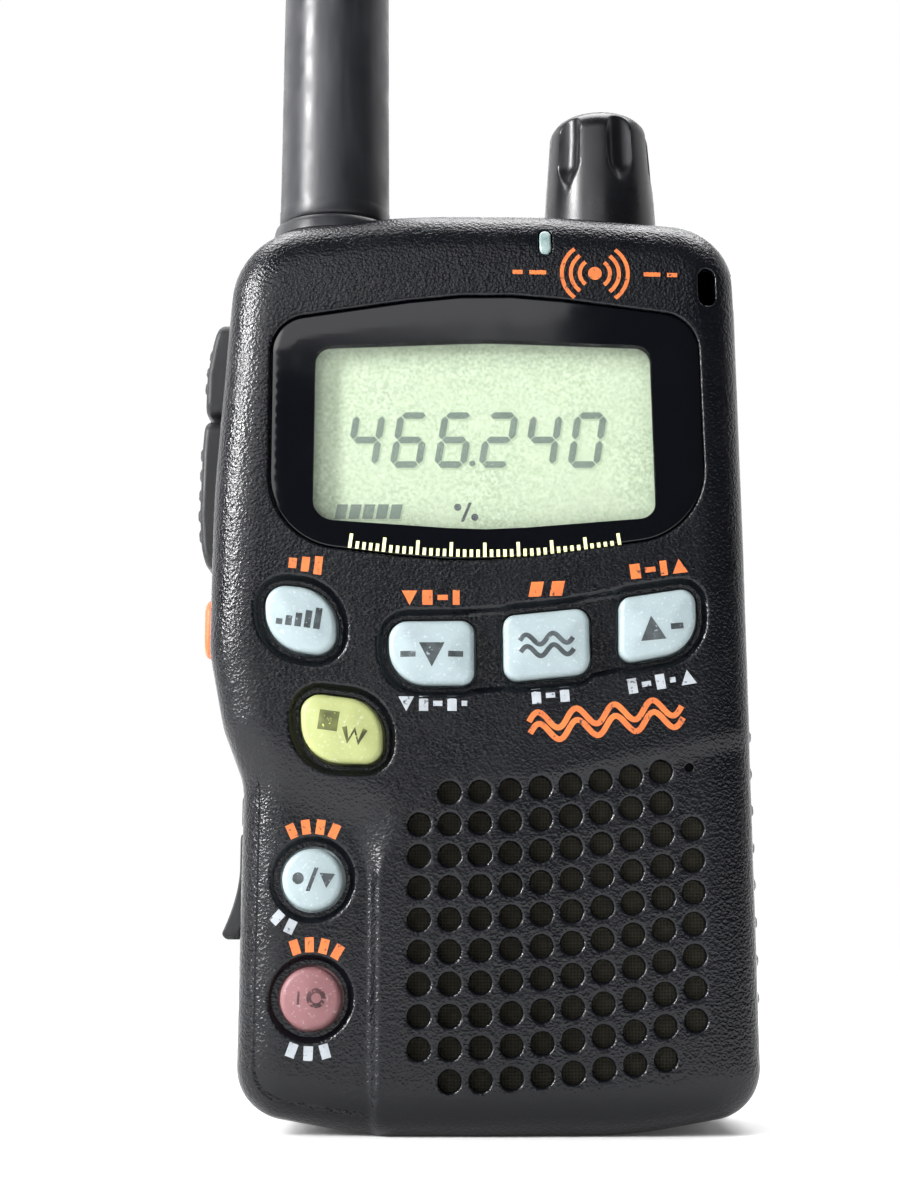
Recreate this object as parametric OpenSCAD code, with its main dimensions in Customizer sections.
// Pocket dual-band hand-held radio: case halves, display, keypad, loudspeaker, boards,
// screw-on antenna, tuning knob, side keys, slide-off battery and belt clip.
// Origin: middle of the base. +X is the user's right, -Y the display side, +Z up.

/* [Case] */
// Depth from the front face to the back of the battery
case_depth = 25; // [24:0.5:27]
// Wall of the case halves
wall = 1.5; // [1.2:0.1:1.6]
// Rounding of the front edge
edge_r = 2.6; // [1:0.2:3]
// Height of the split between the upper back and the battery
battery_top = 57.8; // [54:0.2:58]

/* [Display] */
// Thickness of the clear window
window_t = 1.25; // [1:0.05:1.3]
// Thickness of the liquid crystal glass
lcd_t = 1.6; // [1:0.1:1.7]

/* [Keys] */
// How far the front keys stand proud of the face
key_proud = 0.9; // [0.4:0.1:1.2]
// How far a front key moves when pressed
key_travel = 0.5; // [0.3:0.05:0.5]
// Gap round each key in its opening
key_gap = 0.2; // [0.15:0.05:0.3]
// Radius of the two round keys
round_key_r = 2.6; // [2:0.1:2.8]
// How far a side key moves when pressed
side_travel = 0.7; // [0.3:0.1:0.7]

/* [Loudspeaker] */
// Radius of the loudspeaker
speaker_r = 13; // [11:0.5:13]
// Radius of one grille hole
grille_r = 0.94; // [0.6:0.02:1]
// Spacing of the grille holes across
grille_dx = 2.585; // [2.4:0.005:2.6]
// Spacing of the grille holes up
grille_dz = 2.66; // [2.4:0.01:2.7]

/* [Antenna] */
// Length of the rubber sleeve
sleeve_len = 145; // [100:1:160]
// Radius of the sleeve at its foot
sleeve_r = 5.25; // [5:0.05:5.3]
// Radius of the sleeve at its tip
tip_r = 4.2; // [4:0.1:5]

/* [Knob] */
// Radius of the knob at its skirt
knob_r = 5.4; // [5:0.1:5.4]
// Height of the knob
knob_h = 12.6; // [11:0.1:14]

/* [Belt clip] */
// Space for the belt
belt_gap = 4.5; // [4.2:0.1:6]
// Width of the clip's tongue
clip_w = 18; // [14:1:20]

/* [Hidden] */

front_y = -case_depth / 2;
back_y = case_depth / 2;
inner_y = front_y + 1.6;
split_y = -4;
chassis_in_y = 1;
chassis_y = 2.2;
battery_y = 2.6;
arm_y = 6;
upper_z = battery_top + 0.3;
fine = 48;
small = 24;

// Outlines are lists of corners: x, z and the radius that rounds the corner.
body_corners = [[22.3, 2, 4.4], [21.9, 50, 200], [21.5, 79.7, 6], [6, 81.1, 60],
    [-8, 81.2, 50], [-23.3, 79.3, 7.4], [-25, 55, 90], [-25.1, 41, 8],
    [-23.75, 34.2, 8], [-21.95, 29.4, 6], [-22.2, 2, 4.4], [-11, 0, 40], [11, 0, 40]];
rear_corners = [[21.8, 54, 1], [21.5, 79.2, 6], [6, 80.8, 60], [-8, 80.8, 60],
    [-22.2, 79.2, 7], [-22.2, 54, 1]];
window_corners = [[17.9, 70.6, 3.4], [-0.8, 73.1, 50], [-19.85, 70.35, 3.2],
    [-19.85, 50.6, 6.5], [-2.5, 48.4, 45], [18.35, 51.2, 6.5]];
aperture_corners = [[13.75, 68, 1.4], [-0.9, 68.55, 60], [-16, 68, 1.4],
    [-16.1, 52.4, 2], [-0.9, 51.3, 45], [14.05, 52.5, 1.6]];
volume_corners = [[-13.6, 46.2, 3.8], [-20.25, 46.9, 1.7], [-20, 40.9, 3.8],
    [-13.6, 40, 1.7]];
function_corners = [[-9.75, 36.3, 3.4], [-16.95, 37.2, 1.6], [-16.6, 31.2, 3.4],
    [-9.8, 31, 1.5]];
down_corners = [[-1.95, 43.35, 1.1], [-9.3, 43.3, 1.6], [-9.3, 37.8, 3.2],
    [-1.95, 37.8, 1.1]];
band_corners = [[7.95, 44.5, 1.1], [0.55, 43.75, 1.1], [0.6, 38.05, 1.2],
    [8.05, 38.8, 1.4]];
up_corners = [[17.2, 46.3, 1.2], [10.6, 45.3, 1.1], [10.55, 39.6, 1.1],
    [17.3, 40.9, 3.4]];
tray_corners = [[17.9, 47.4, 2.2], [2, 44.7, 30], [-10.15, 44, 1.8], [-10.2, 37, 3.4],
    [-3, 36.9, 30], [6, 37.9, 40], [17.9, 40.6, 4.2]];
side_panel_corners = [[-10.5, 27, 1.5], [-16.4, 29.2, 6], [-21.9, 33, 1.5],
    [-30, 20, 1], [-30, -2, 1], [-10.5, -2, 1]];
memory_at = [-15.7, 21.3];
range_at = [-15.75, 11.4];
speaker_at = [5, 17.2];
microphone_at = [16.45, 30.75];
// Where each front key presses its dome, in the order of the key nodes.
press_points = [[-16.8, 43.4], [-13.3, 34], [-5.6, 40.6], [4.3, 41.3], [13.9, 43],
    memory_at, range_at];
screw_points = [[-7.5, 76], [18.7, 64.5], [-18.6, 4.6], [18.6, 4.6]];
upper_screws = 2;
strap_x = [18.2, 20];
strap_z = [71.9, 75.4];
antenna_x = -15.04;
seat_z = 81.2;
knob_x = 10.3;
knob_z = 81.4;
audio_at = [-1.6, 3.5];
side_y = -2;
ptt_z = 55.8;
monitor_z = 67.4;
power_z = 44;
dc_at = [-2.6, 20.4];
cover_hinge = [-22.95, 25.6];
latch_axis = [1.6, 1.05];
clip_axis = [15.3, 69];

// The points of one rounded corner at p, between its neighbours a and b.
function corner_arc(a, p, b, r) =
    let (u = (a - p) / norm(a - p), v = (b - p) / norm(b - p),
        half = acos(u * v) / 2, c = p + (u + v) / norm(u + v) * r / sin(half),
        s = p + u * r / tan(half) - c, e = p + v * r / tan(half) - c,
        a0 = atan2(s[1], s[0]), turn = atan2(e[1], e[0]) - a0,
        sweep = turn > 180 ? turn - 360 : turn < -180 ? turn + 360 : turn,
        n = max(2, ceil(abs(sweep) / 9)))
    [for (i = [0:n]) c + r * [cos(a0 + sweep * i / n), sin(a0 + sweep * i / n)]];

function flat(q) = [q[0], q[1]];

function rounded(c) = [for (i = [0:len(c) - 1])
    each corner_arc(flat(c[(i + len(c) - 1) % len(c)]), flat(c[i]),
        flat(c[(i + 1) % len(c)]), c[i][2])];

module outline(corners) {
    polygon(rounded(corners));
}

// Extrudes an X-Z outline from y0 back to y1.
module slab(y0, y1) {
    translate([0, y1, 0]) rotate([90, 0, 0]) linear_extrude(height = y1 - y0) children();
}

module block(lo, hi) {
    translate(lo) cube(hi - lo);
}

module rod_x(y, z, x0, x1, r) {
    translate([x0, y, z]) rotate([0, 90, 0]) cylinder(h = x1 - x0, r = r, $fn = small);
}

module rod_y(x, z, y0, y1, r) {
    translate([x, y1, z]) rotate([90, 0, 0]) cylinder(h = y1 - y0, r = r, $fn = small);
}

module rod_z(x, y, z0, z1, r) {
    translate([x, y, z0]) cylinder(h = z1 - z0, r = r, $fn = fine);
}

// A round-ended slot across X, long in Z.
module slot_x(y, z, x0, x1, width, height) {
    for (end = [-1, 1]) rod_x(y, z + end * (height - width) / 2, x0, x1, width / 2);
    block([x0, y - width / 2, z - (height - width) / 2],
        [x1, y + width / 2, z + (height - width) / 2]);
}

// A slab whose edge at the y0 end is rounded in steps.
module soft_slab(y0, y1, r, steps = 4) {
    for (i = [0:steps - 1]) {
        depth = r * (i + 0.5) / steps;
        inset = r - sqrt(r * r - (r - depth) * (r - depth));
        slab(y0 + r * i / steps, y0 + r * (i + 1) / steps) offset(delta = -inset) children();
    }
    slab(y0 + r, y1) children();
}

function grille_z(column, row) = 28.57 - grille_dz * row + 0.0286 * column * column;

module grille_holes() {
    for (column = [0:9], row = [0:9]) {
        at_end = column == 0 || column == 9;
        missing = at_end && (row == 0 || row == 9) || column == 9 && row == 1;
        if (!missing) rod_y(-6.65 + grille_dx * column, grille_z(column, row), front_y - 1,
            inner_y + 0.5, grille_r);
    }
}

module key_openings(grow, y0, y1) {
    for (c = [volume_corners, function_corners, down_corners, band_corners, up_corners])
        slab(y0, y1) offset(delta = grow) outline(c);
    for (p = [memory_at, range_at]) rod_y(p[0], p[1], y0, y1, round_key_r + grow);
}

// The thick land in the left wall that carries the side keys.
module side_land(y0, y1) {
    intersection() {
        slab(y0, y1) outline(body_corners);
        block([-24, y0, 40.6], [-22.3, y1, 73]);
    }
}

// Pockets and plunger holes for the three side keys.
module side_pockets() {
    block([-30, side_y - 4.5, 48.8], [-23.3, side_y + 4.5, 72.2]);
    slot_x(side_y, power_z, -30, -23.3, 4, 6);
    for (z = [ptt_z, monitor_z, power_z]) rod_x(side_y, z, -24, -21, 1.2);
}

module strap_tunnel() {
    block([strap_x[0], front_y - 1, strap_z[0]], [strap_x[1], front_y + 4.5, strap_z[1]]);
    block([strap_x[0], front_y + 2.5, strap_z[0]], [25, front_y + 4.5, strap_z[1]]);
}

module grip_ribs() {
    for (i = [0:7]) block([21.4, -9.5, 33.2 - 3.19 * i], [22.55, split_y, 34.1 - 3.19 * i]);
}

module front_case() {
    color("#23272c") difference() {
        union() {
            difference() {
                union() {
                    soft_slab(front_y, split_y, edge_r) outline(body_corners);
                    grip_ribs();
                }
                slab(inner_y, split_y + 1) offset(delta = -wall) outline(body_corners);
            }
            side_land(-7.5, split_y);
            block([strap_x[0] - 1.4, inner_y - 0.1, strap_z[0] - 1.4],
                [20.4, front_y + 5.9, strap_z[1] + 1.4]);
            for (p = screw_points) rod_y(p[0], p[1], inner_y - 0.1, split_y, 2);
        }
        for (p = screw_points) rod_y(p[0], p[1], -9, split_y + 1, 1.05);
        slab(front_y - 1, front_y + 0.35) outline(side_panel_corners);
        slab(front_y - 1, front_y + 1.4) offset(delta = 0.1) outline(window_corners);
        slab(front_y, inner_y + 0.5) offset(delta = -1.4) outline(window_corners);
        slab(front_y - 1, front_y + 0.6) outline(tray_corners);
        key_openings(0.9, front_y - 1, front_y + 0.5);
        key_openings(key_gap, front_y - 1, inner_y + 0.5);
        grille_holes();
        rod_y(microphone_at[0], microphone_at[1], front_y - 1, inner_y + 0.5, 0.5);
        block([3.86, front_y - 1, 76.4], [5.16, inner_y + 0.5, 79.1]);
        strap_tunnel();
        side_pockets();
        rod_x(dc_at[0], dc_at[1], -24, -20, 2.5);
        rod_z(antenna_x, 0, 76.9, 83, 6.1);
        rod_z(knob_x, 0, 78, 83, 4.7);
    }
}

// The cheeks that reach back beside the battery, with the rails that hold it.
module battery_arms() {
    for (side = [-1, 1]) {
        intersection() {
            slab(chassis_in_y, arm_y) outline(body_corners);
            block([side > 0 ? 20.4 : -30, chassis_in_y, 2.2],
                [side > 0 ? 30 : -20.4, arm_y, upper_z + 1]);
        }
        block([side > 0 ? 19.7 : -20.6, 4.2, 2.6], [side > 0 ? 20.6 : -19.7, 5.2, upper_z]);
    }
}

module upper_back() {
    difference() {
        union() {
            intersection() {
                slab(split_y, arm_y) outline(body_corners);
                block([-30, split_y, upper_z], [30, arm_y, 90]);
            }
            intersection() {
                mirror([0, 1, 0]) hull() soft_slab(-back_y, -arm_y, 2.4, 5) outline(rear_corners);
                block([-30, arm_y, upper_z], [30, back_y, 90]);
            }
        }
        intersection() {
            slab(split_y - 1, 11) offset(delta = -wall) outline(rear_corners);
            block([-30, split_y - 1, upper_z + wall], [30, 11, 90]);
        }
        slab(split_y - 1, chassis_in_y) offset(delta = -wall) outline(body_corners);
    }
}

module rear_case() {
    color("#1d2024") difference() {
        union() {
            difference() {
                slab(split_y, chassis_y) outline(body_corners);
                slab(split_y - 1, chassis_in_y) offset(delta = -wall) outline(body_corners);
                block([-20, chassis_in_y - 0.5, upper_z + wall], [20, chassis_y + 1, 79]);
            }
            battery_arms();
            upper_back();
            side_land(split_y, 4);
            rod_z(antenna_x, 0, 77, seat_z, 6);
            for (i = [0:3]) rod_y(screw_points[i][0], screw_points[i][1], split_y,
                i < upper_screws ? 11.5 : chassis_in_y + 0.1, 2.4);
        }
        // Room under the wall for the latch's knuckle, between the pin's lugs.
        block([-12, 0.35, -1], [12, 4, 2.2]);
        block([-30, 2.3, -1], [30, 8, 2.2]);
        rod_x(latch_axis[0], latch_axis[1], -14, 14, 0.55);
        for (p = screw_points) rod_y(p[0], p[1], split_y - 1, chassis_y + 1, 1.15);
        for (i = [0:upper_screws - 1])
            rod_y(screw_points[i][0], screw_points[i][1], 1.6, 14, 2);
        for (i = [upper_screws:3])
            rod_y(screw_points[i][0], screw_points[i][1], 1.3, 4, 2);
        side_pockets();
        rod_x(dc_at[0], dc_at[1], -24, -20, 2.5);
        rod_x(dc_at[0], cover_hinge[1] + 1.7, -24, -20, 0.75);
        rod_z(antenna_x, 0, 70, 90, 3.35);
        rod_z(antenna_x, 0, 70, 77, 4.2);
        rod_z(antenna_x, 0, 79.9, 90, 4.4);
        rod_z(knob_x, 0, 70, 90, 3.1);
        rod_z(audio_at[0], audio_at[1], 70, 90, 3);
        for (x = [-6, 0, 6]) rod_y(x, 50, 0, 4, 1);
        for (x = [-6, 6], z = [63.5, 74]) rod_y(x, z, 10, 14, 0.9);
    }
}

module case_screws() {
    color("#5c5f63") for (i = [0:3]) {
        x = screw_points[i][0];
        z = screw_points[i][1];
        head_y = i < upper_screws ? 1.6 : 1.3;
        difference() {
            union() {
                rod_y(x, z, head_y, head_y + 0.9, 1.85);
                rod_y(x, z, -8.7, head_y, 1);
            }
            block([x - 1.1, head_y + 0.4, z - 0.2], [x + 1.1, head_y + 1, z + 0.2]);
            block([x - 0.2, head_y + 0.4, z - 1.1], [x + 0.2, head_y + 1, z + 1.1]);
        }
    }
}

module display_window() {
    color("#101215") slab(front_y + 0.12, front_y + 0.12 + window_t) outline(window_corners);
}

module lcd_panel() {
    color("#a8b696") block([-17.4, inner_y + 0.1, 50.9], [15.4, inner_y + 0.1 + lcd_t, 69.4]);
}

module lcd_holder() {
    color("#d8d8d0") difference() {
        block([-18.6, inner_y + 0.1, 49.6], [16.6, -7.6, 70.8]);
        block([-17.5, inner_y, 50.8], [15.5, -7.9, 69.5]);
    }
}

module light_guide() {
    color("#e8eee0") block([-17.3, -9, 51], [15.3, -8, 69.3]);
}

module indicator_lens() {
    color("#b4c3c3") block([3.96, front_y - 0.15, 76.5], [5.06, -8.3, 79]);
}

module indicator_led() {
    color("#c8e070") block([3.7, -8.2, 76.9], [5.3, -7.6, 78.5]);
}

// A front key: cap, flange behind the face and plunger above its dome.
module front_key(at) {
    hull() soft_slab(front_y - key_proud, inner_y + 0.3, 0.6, 3) children();
    slab(inner_y + 0.3, inner_y + 0.7) offset(delta = 0.5) children();
    rod_y(at[0], at[1], inner_y + 0.6, -8.65, 1);
}

module volume_key() {
    color("#aab4b9") front_key(press_points[0]) outline(volume_corners);
}

module function_key() {
    color("#d7e182") front_key(press_points[1]) outline(function_corners);
}

module down_key() {
    color("#aab4b9") front_key(press_points[2]) outline(down_corners);
}

module band_key() {
    color("#aab4b9") front_key(press_points[3]) outline(band_corners);
}

module up_key() {
    color("#aab4b9") front_key(press_points[4]) outline(up_corners);
}

module round_key(at) {
    front_key(at) translate(at) circle(r = round_key_r, $fn = fine);
}

module memory_key() {
    color("#aab4b9") round_key(memory_at);
}

module range_key() {
    color("#b96e73") round_key(range_at);
}

module key_mat() {
    color("#3a3d40") difference() {
        union() {
            block([-20.4, -9.6, 30.7], [-8, -9, 47.4]);
            block([-11, -9.6, 36.4], [18.6, -9, 47.4]);
            block([-19.6, -9.6, 7.4], [-11.8, -9, 31]);
        }
        for (p = press_points) rod_y(p[0], p[1], -10, -8.5, 1.4);
    }
}

module key_domes() {
    color("#c9ccd0") for (p = press_points) {
        rod_y(p[0], p[1], -7.85, -7.6, 2.2);
        rod_y(p[0], p[1], -8.1, -7.8, 1.4);
    }
}

// A side key: rubber pad outside, plunger through the land.
module side_key(corners, z) {
    slab(side_y - 4.2, side_y + 4.2) outline(corners);
    rod_x(side_y, z, -24.5, -22.6, 1);
}

module push_to_talk_key() {
    color("#26282b") side_key([[-24.2, 62.8, 0.3], [-26.7, 62.8, 0.9], [-27.05, 54, 40],
        [-26.5, 49.1, 1.6], [-24.2, 49.1, 0.3]], ptt_z);
}

module monitor_key() {
    color("#26282b") side_key([[-24.2, 71.9, 0.2], [-25.6, 71.9, 1], [-26.55, 67, 8],
        [-26.6, 63.2, 0.6], [-24.2, 63.2, 0.3]], monitor_z);
}

module power_key() {
    color("#eb6e46") {
        slot_x(side_y, power_z, -26.3, -24.2, 3.5, 5.5);
        rod_x(side_y, power_z, -24.5, -22.6, 1);
    }
}

module side_board() {
    color("#2f5d3a") block([-20.6, -6.2, 41.5], [-19.8, 0.7, 71.5]);
}

module side_switches() {
    color("#b0b3b6") for (z = [ptt_z, monitor_z, power_z]) {
        block([-21.6, side_y - 2.2, z - 1.7], [-20.6, side_y + 2.2, z + 1.7]);
        rod_x(side_y, z, -21.8, -21.5, 0.9);
    }
}

module tuning_knob() {
    top = knob_z + knob_h;
    color("#1c1d20") difference() {
        translate([knob_x, 0, 0]) rotate_extrude($fn = 72) polygon([[0, knob_z + 2],
            [4.8, knob_z + 2], [4.8, knob_z], [knob_r - 0.2, knob_z],
            [knob_r, knob_z + 0.3], [knob_r - 0.5, top - 5], [4.75, top - 3.4],
            [4.45, top - 2.1], [3.8, top - 1], [2.9, top - 0.4], [1.6, top - 0.1], [0, top]]);
        rod_z(knob_x, 0, knob_z + 1, top - 2.5, 1.52);
        for (turn = [20:60:320]) translate([knob_x, 0, 0]) rotate([0, 0, turn - 90]) {
            translate([knob_r + 0.15, 0, top - 7]) cylinder(h = 8, r = 1.25, $fn = small);
            translate([knob_r + 0.15, 0, top - 7]) sphere(r = 1.25, $fn = small);
        }
    }
}

module encoder_shaft() {
    color("#9b9ea2") {
        rod_z(knob_x, 0, 74, knob_z + knob_h - 2.7, 1.5);
        rod_z(knob_x, 0, 74.6, 75.4, 3.5);
    }
}

module encoder_body() {
    color("#2b2d30") difference() {
        union() {
            block([knob_x - 5.5, -5.5, 71.5], [knob_x + 5.5, 5.5, 77.5]);
            rod_z(knob_x, 0, 77, 82.6, 2.95);
        }
        rod_z(knob_x, 0, 73.7, 90, 1.55);
        rod_z(knob_x, 0, 74.2, 75.8, 3.8);
    }
}

module encoder_nut() {
    color("#b8babd") difference() {
        translate([knob_x, 0, 81.1]) cylinder(h = 1.3, r = 4.5, $fn = 6);
        rod_z(knob_x, 0, 80, 84, 2.97);
    }
}

module antenna_sleeve() {
    foot = seat_z + 1.6;
    top = foot + sleeve_len;
    color("#3c3e42") translate([antenna_x, 0, 0]) rotate_extrude($fn = 72) polygon(concat(
        [[4.25, foot], [sleeve_r - 0.3, foot], [sleeve_r, foot + 0.4]],
        [for (a = [0:15:90]) [tip_r - 2 + 2 * cos(a), top - 2 + 2 * sin(a)]],
        [[0, top], [0, top - 6], [2.6, top - 6], [2.6, foot + 9.4], [4.25, foot + 9.4]]));
}

module antenna_element() {
    foot = seat_z + 1.6;
    color("#b08d57") difference() {
        rod_z(antenna_x, 0, foot + 9.5, foot + sleeve_len - 7, 2.5);
        rod_z(antenna_x, 0, foot + 12, foot + sleeve_len, 1.9);
    }
}

module antenna_plug() {
    foot = seat_z + 1.6;
    color("#c9a84c") {
        difference() {
            rod_z(antenna_x, 0, foot + 0.1, foot + 9.4, 4.2);
            rod_z(antenna_x, 0, foot, foot + 5, 3.2);
        }
        rod_z(antenna_x, 0, foot + 0.7, foot + 6, 0.45);
    }
}

module antenna_seal() {
    color("#18191b") difference() {
        rod_z(antenna_x, 0, seat_z + 0.1, seat_z + 1.5, 5.9);
        rod_z(antenna_x, 0, seat_z - 1, seat_z + 3, 3.5);
    }
}

module antenna_jack() {
    color("#d2b45a") difference() {
        union() {
            rod_z(antenna_x, 0, 75.4, seat_z + 6.2, 3.1);
            rod_z(antenna_x, 0, 75.4, 77, 4);
            rod_z(antenna_x, 0, 71, 75.5, 1.2);
        }
        rod_z(antenna_x, 0, 79, 90, 2.15);
    }
}

module jack_insulator() {
    color("#f0efe8") difference() {
        rod_z(antenna_x, 0, 79, seat_z + 5.9, 2.12);
        rod_z(antenna_x, 0, 80, 90, 0.65);
    }
}

module jack_nut() {
    color("#c8c9cb") difference() {
        rod_z(antenna_x, 0, 79.9, 81.05, 4.3);
        rod_z(antenna_x, 0, 79, 83, 3.12);
    }
}

module audio_jack() {
    color("#1a1b1d") difference() {
        union() {
            block([audio_at[0] - 3, audio_at[1] - 3, 66.3], [audio_at[0] + 3, audio_at[1] + 3, 79]);
            rod_z(audio_at[0], audio_at[1], 78.5, 81, 2.95);
        }
        rod_z(audio_at[0], audio_at[1], 67.5, 82, 1.8);
    }
}

module dc_jack() {
    color("#202225") {
        difference() {
            union() {
                block([-20.4, dc_at[0] - 3, dc_at[1] - 3], [-11, dc_at[0] + 3, dc_at[1] + 3]);
                rod_x(dc_at[0], dc_at[1], -21.2, -20.3, 2.45);
            }
            rod_x(dc_at[0], dc_at[1], -22, -13, 1.7);
        }
        rod_x(dc_at[0], dc_at[1], -20, -12.5, 0.5);
    }
}

module dc_jack_cover() {
    color("#202124") {
        rod_y(cover_hinge[0], cover_hinge[1], dc_at[0] - 2.2, dc_at[0] + 2.2, 0.3);
        slab(dc_at[0] - 3.4, dc_at[0] + 3.4) outline([[-22.3, 25.4, 0.15], [-22.95, 25.4, 0.3],
            [-22.98, 22.8, 6], [-24.3, 17, 0.5], [-23.3, 15.8, 0.4], [-22.75, 17.4, 0.6],
            [-22.3, 17.6, 0.2]]);
        rod_x(dc_at[0], dc_at[1], -22.5, -21.5, 2);
    }
}

module dc_cover_strap() {
    color("#202124") {
        block([-22.9, dc_at[0] - 2.2, 26], [-22.25, dc_at[0] + 2.2, 28.7]);
        rod_x(dc_at[0], cover_hinge[1] + 1.7, -22.5, -20.2, 0.7);
    }
}

module speaker_frame() {
    color("#8b8e92") translate([speaker_at[0], 0, speaker_at[1]]) rotate([90, 0, 0])
        rotate_extrude($fn = 64) polygon([[11.4, 10.65], [speaker_r, 10.65],
            [speaker_r, 8.9], [8.4, 8.9], [8.4, 5.5], [0, 5.5], [0, 6], [7.6, 6],
            [7.6, 9.5], [11.4, 9.5]]);
}

module speaker_cone() {
    color("#3b352c") translate([speaker_at[0], 0, speaker_at[1]]) rotate([90, 0, 0])
        rotate_extrude($fn = 64) polygon([[0, 9.9], [4.5, 9.5], [7.4, 9.6], [11.2, 9.9],
            [11.2, 10.2], [7.4, 9.9], [4.5, 9.8], [0, 10.2]]);
}

module speaker_magnet() {
    color("#4a4c4f") rod_y(speaker_at[0], speaker_at[1], -8.9, -6.05, 7);
}

module speaker_mesh() {
    color("#4d4a35") slab(inner_y + 0.02, inner_y + 0.2) intersection() {
        translate(speaker_at) circle(r = 15.2, $fn = 64);
        translate([-8.6, 3.2]) square([27, 28.4]);
    }
}

module microphone() {
    color("#a5a7aa") rod_y(microphone_at[0], microphone_at[1], -10.3, -8.6, 2);
}

module microphone_boot() {
    color("#2a2a2c") difference() {
        rod_y(microphone_at[0], microphone_at[1], inner_y + 0.25, -8.2, 2.6);
        rod_y(microphone_at[0], microphone_at[1], -10.4, -8, 2.05);
        rod_y(microphone_at[0], microphone_at[1], front_y, -8, 0.6);
    }
}

module main_board() {
    color("#2f5d3a") difference() {
        slab(-7.6, -6.6) offset(delta = -3.3) outline(body_corners);
        for (p = screw_points) rod_y(p[0], p[1], -9, -5, 2.4);
        rod_y(speaker_at[0], speaker_at[1], -9, -5, 9);
        block([16, -9, 69.8], [25, -5, 80]);
    }
}

module main_shield() {
    color("#c0c3c6") difference() {
        block([-12, -6.6, 36], [14, -4.3, 62]);
        block([-11.6, -7, 36.4], [13.6, -4.7, 61.6]);
    }
}

module board_connector() {
    color("#e5e0cc") block([-8, -6.6, 29.5], [10, -2, 33]);
}

module rf_board() {
    color("#2f5d3a") difference() {
        block([-19, -2, 3], [19, -1.2, 57]);
        block([-20, -3, 16.8], [-10.4, 0, 24.2]);
        for (i = [upper_screws:3]) rod_y(screw_points[i][0], screw_points[i][1], -3, 0, 2.8);
        block([-14.5, -3, 0], [14.5, 0, 4]);
    }
}

module rf_shields() {
    color("#c0c3c6") for (z = [5, 28]) difference() {
        block([-9.5, -1.2, z], [15.5, 0.8, z + 18]);
        block([-9.1, -2, z + 0.4], [15.1, 0.4, z + 17.6]);
    }
}

// Cross-section of the battery's tray, grooved for the rails on both sides.
module battery_section() {
    polygon([[-20.1, battery_y], [20.1, battery_y], [20.1, 3.9], [19.4, 3.9], [19.4, 5.5],
        [20.1, 5.5], [20.1, 6.4], [21.6, 6.4], [21.6, 10.2], [-21.6, 10.2], [-21.6, 6.4],
        [-20.1, 6.4], [-20.1, 5.5], [-19.4, 5.5], [-19.4, 3.9], [-20.1, 3.9]]);
}

module battery_case() {
    color("#1f2226") difference() {
        translate([0, 0, 2.2]) linear_extrude(height = battery_top - 2.2) battery_section();
        block([-18.2, 3.7, 3.5], [18.2, 11, battery_top - 1.3]);
        translate([0, battery_y, 5.2]) rotate([45, 0, 0])
            block([-25, -3, -8], [25, 0.3, 2]);
        for (x = [-6, 0, 6]) block([x - 1.7, 2, 47.4], [x + 1.7, 2.95, 52.6]);
    }
}

module battery_cover() {
    color("#1f2226") difference() {
        mirror([0, 1, 0]) hull() soft_slab(-back_y, -10.2, 2.2, 5) outline([
            [21.6, battery_top, 0.4], [-21.6, battery_top, 0.4], [-21.6, 2.2, 2.6],
            [21.6, 2.2, 2.6]]);
        block([-18.2, 9, 3.5], [18.2, 11.1, battery_top - 1.3]);
        block([-6, 11.3, 0], [6, 14, 5]);
    }
}

module battery_cell() {
    color("#c3c7cb") block([-17.4, 4.1, 5], [17.4, 10.6, 49]);
}

module battery_pads() {
    color("#d9b24a") for (x = [-6, 0, 6]) block([x - 1.5, 2.65, 47.6], [x + 1.5, 2.95, 52.4]);
}

module battery_contacts() {
    color("#e0bd55") for (x = [-6, 0, 6]) {
        rod_y(x, 50, -1.2, 2.2, 0.95);
        rod_y(x, 50, 2.1, 2.5, 0.6);
    }
}

module battery_latch() {
    color("#2a2c30") difference() {
        union() {
            block([-11.7, latch_axis[0], 0], [11.7, 12.2, 1.7]);
            rod_x(latch_axis[0], latch_axis[1], -11.7, 11.7, 0.95);
            // The finger tab with its round end.
            block([10, 2.9, 0], [15.4, 12.2, 1.7]);
            rod_z(15.4, 7.55, 0, 1.7, 4.65);
            block([-5.4, 11.6, 0], [5.4, 12.4, 4.4]);
        }
        rod_x(latch_axis[0], latch_axis[1], -13, 13, 0.56);
    }
}

module latch_pin() {
    color("#b9bcc0") rod_x(latch_axis[0], latch_axis[1], -13.9, 13.9, 0.5);
}

module clip_base() {
    color("#2a2c30") difference() {
        union() {
            slab(back_y, back_y + 1.1) outline([[9.5, 76, 1.5], [-9.5, 76, 1.5],
                [-9.5, 61.5, 1.5], [9.5, 61.5, 1.5]]);
            for (side = [-1, 1]) {
                rod_x(clip_axis[0], clip_axis[1], side * 8.2 - 0.8, side * 8.2 + 0.8, 1.5);
                block([side * 8.2 - 0.8, back_y + 1, clip_axis[1] - 1.5],
                    [side * 8.2 + 0.8, clip_axis[0], clip_axis[1] + 1.5]);
            }
        }
        rod_x(clip_axis[0], clip_axis[1], -12, 12, 0.82);
        for (x = [-6, 6], z = [63.5, 74]) rod_y(x, z, 10, 14, 0.9);
    }
}

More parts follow.
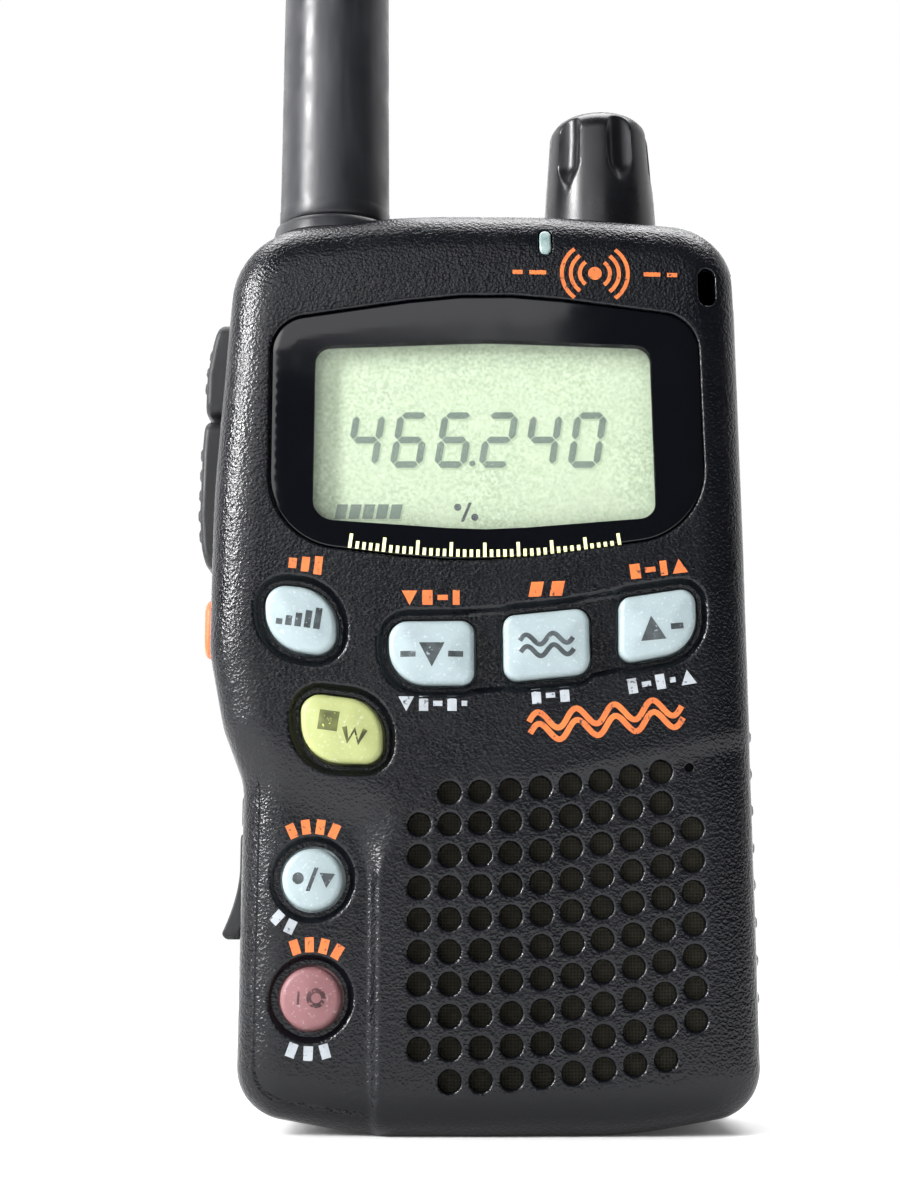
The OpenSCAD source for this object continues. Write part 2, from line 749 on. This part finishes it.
module belt_clip() {
    inner = back_y + belt_gap;
    color("#2a2c30") difference() {
        union() {
            slab(inner, inner + 1.5) outline([[clip_w / 2, 76.5, 2.5], [-clip_w / 2, 76.5, 2.5],
                [-clip_w / 2, 22, 4], [clip_w / 2, 22, 4]]);
            for (side = [-1, 1]) {
                rod_x(clip_axis[0], clip_axis[1], side * 5.5 - 1.6, side * 5.5 + 1.6, 1.5);
                block([side * 5.5 - 1.6, clip_axis[0], clip_axis[1] - 1.5],
                    [side * 5.5 + 1.6, inner + 0.5, clip_axis[1] + 1.5]);
            }
            block([-6, inner - 3.4, 23.5], [6, inner + 0.2, 25.5]);
        }
        rod_x(clip_axis[0], clip_axis[1], -12, 12, 0.85);
    }
}

module clip_pin() {
    color("#b9bcc0") rod_x(clip_axis[0], clip_axis[1], -9, 9, 0.8);
}

module clip_spring() {
    color("#9a9da1") {
        difference() {
            rod_x(clip_axis[0], clip_axis[1], -3.2, 3.2, 1.45);
            rod_x(clip_axis[0], clip_axis[1], -4, 4, 0.95);
        }
        block([-3, back_y + 1.25, clip_axis[1] + 0.6], [-2.5, clip_axis[0] - 0.6, clip_axis[1] + 1.1]);
    }
}

front_case();
rear_case();
case_screws();
display_window();
lcd_panel();
lcd_holder();
light_guide();
indicator_lens();
indicator_led();
volume_key();
function_key();
down_key();
band_key();
up_key();
memory_key();
range_key();
key_mat();
key_domes();
push_to_talk_key();
monitor_key();
power_key();
side_board();
side_switches();
tuning_knob();
encoder_shaft();
encoder_body();
encoder_nut();
antenna_sleeve();
antenna_element();
antenna_plug();
antenna_seal();
antenna_jack();
jack_insulator();
jack_nut();
audio_jack();
dc_jack();
dc_jack_cover();
dc_cover_strap();
speaker_frame();
speaker_cone();
speaker_magnet();
speaker_mesh();
microphone();
microphone_boot();
main_board();
main_shield();
board_connector();
rf_board();
rf_shields();
battery_case();
battery_cover();
battery_cell();
battery_pads();
battery_contacts();
battery_latch();
latch_pin();
clip_base();
belt_clip();
clip_pin();
clip_spring();
